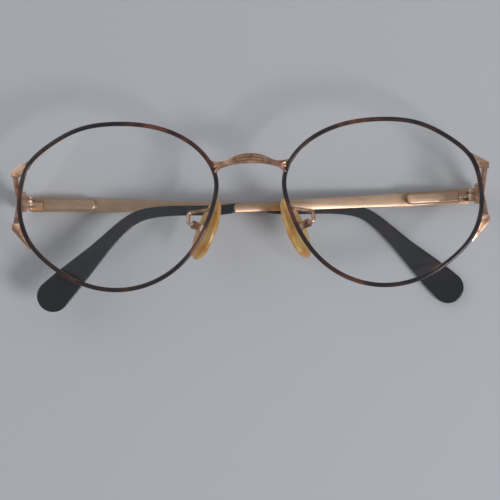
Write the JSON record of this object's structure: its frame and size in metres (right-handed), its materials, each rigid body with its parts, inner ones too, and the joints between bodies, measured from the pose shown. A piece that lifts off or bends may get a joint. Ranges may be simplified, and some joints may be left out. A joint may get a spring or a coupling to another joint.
{
  "type": "eyeglasses frame",
  "caption": "Oval full-rim metal eyeglasses frame with forked end pieces, arched bridge, rocking nose pads and sprung hinges, stored folded with clear demo lenses.",
  "frame": {"origin": "middle of the folded frame, on the surface that it lies on", "axes": "+X to the viewer's right, +Y to the top of the lenses, +Z out of the lens fronts"},
  "size_m": [0.1264, 0.0502, 0.0216],
  "materials": {
    "gold_plate": "polished",
    "brushed_gold": "satin",
    "tortoise_lacquer": "gloss",
    "demo_lens": "clear",
    "dark_tortoise": "gloss",
    "amber_pad": "gloss",
    "screw_steel": "polished"
  },
  "bodies": {
    "front": {"bridge": "gold_plate", "rim_l": "tortoise_lacquer", "rim_r": "tortoise_lacquer", "lens_l": "demo_lens", "lens_r": "demo_lens", "endpiece_l": "gold_plate", "endpiece_r": "gold_plate", "hinge_front_l": "gold_plate", "hinge_front_r": "gold_plate", "rim_lock_upper_l": "gold_plate", "rim_lock_upper_r": "gold_plate", "rim_lock_lower_l": "gold_plate", "rim_lock_lower_r": "gold_plate", "pad_arm_l": "gold_plate", "pad_arm_r": "gold_plate", "pad_box_l": "gold_plate", "pad_box_r": "gold_plate", "hinge_screws": "screw_steel", "rim_lock_screws": "gold_plate", "pad_screws": "screw_steel"},
    "shuttle_l": {"hinge_shuttle_l": "gold_plate"},
    "temple_l": {"temple_l": "brushed_gold", "temple_sleeve_l": "dark_tortoise", "spring_case_l": "brushed_gold", "flex_spring_l": "screw_steel"},
    "pad_l": {"nose_pad_l": "amber_pad", "pad_insert_l": "screw_steel"},
    "shuttle_r": {"hinge_shuttle_r": "gold_plate"},
    "temple_r": {"temple_r": "brushed_gold", "temple_sleeve_r": "dark_tortoise", "spring_case_r": "brushed_gold", "flex_spring_r": "screw_steel"},
    "pad_r": {"nose_pad_r": "amber_pad", "pad_insert_r": "screw_steel"}
  },
  "joints": [
    {"name": "temple_l_hinge", "type": "hinge", "parent": "front", "child": "shuttle_l", "pos_m": [-0.0605, 0.00426, 0.0027], "axis": [0, 1, 0], "range_deg": [0, 90]},
    {"name": "temple_r_hinge", "type": "hinge", "parent": "front", "child": "shuttle_r", "pos_m": [0.0605, 0.00426, 0.0027], "axis": [0, -1, 0], "range_deg": [0, 95.6]},
    {"name": "flex_l_slide", "type": "slide", "parent": "shuttle_l", "child": "temple_l", "axis": [0.9994, -0.0349, 0], "range_m": [0, 0.0015], "stiffness_N_per_m": 1800, "springref_m": -0.001},
    {"name": "flex_r_slide", "type": "slide", "parent": "shuttle_r", "child": "temple_r", "axis": [-0.9946, -0.0349, 0.0975], "range_m": [0, 0.0015], "stiffness_N_per_m": 1800, "springref_m": -0.001},
    {"name": "pad_l_rock", "type": "hinge", "parent": "front", "child": "pad_l", "pos_m": [-0.01412, -0.00294, 0.01495], "axis": [0.5049, -0.204, 0.8387], "range_deg": [-8, 8]},
    {"name": "pad_r_rock", "type": "hinge", "parent": "front", "child": "pad_r", "pos_m": [0.01412, -0.00294, 0.01495], "axis": [-0.5049, -0.204, 0.8387], "range_deg": [-8, 8]}
  ]
}
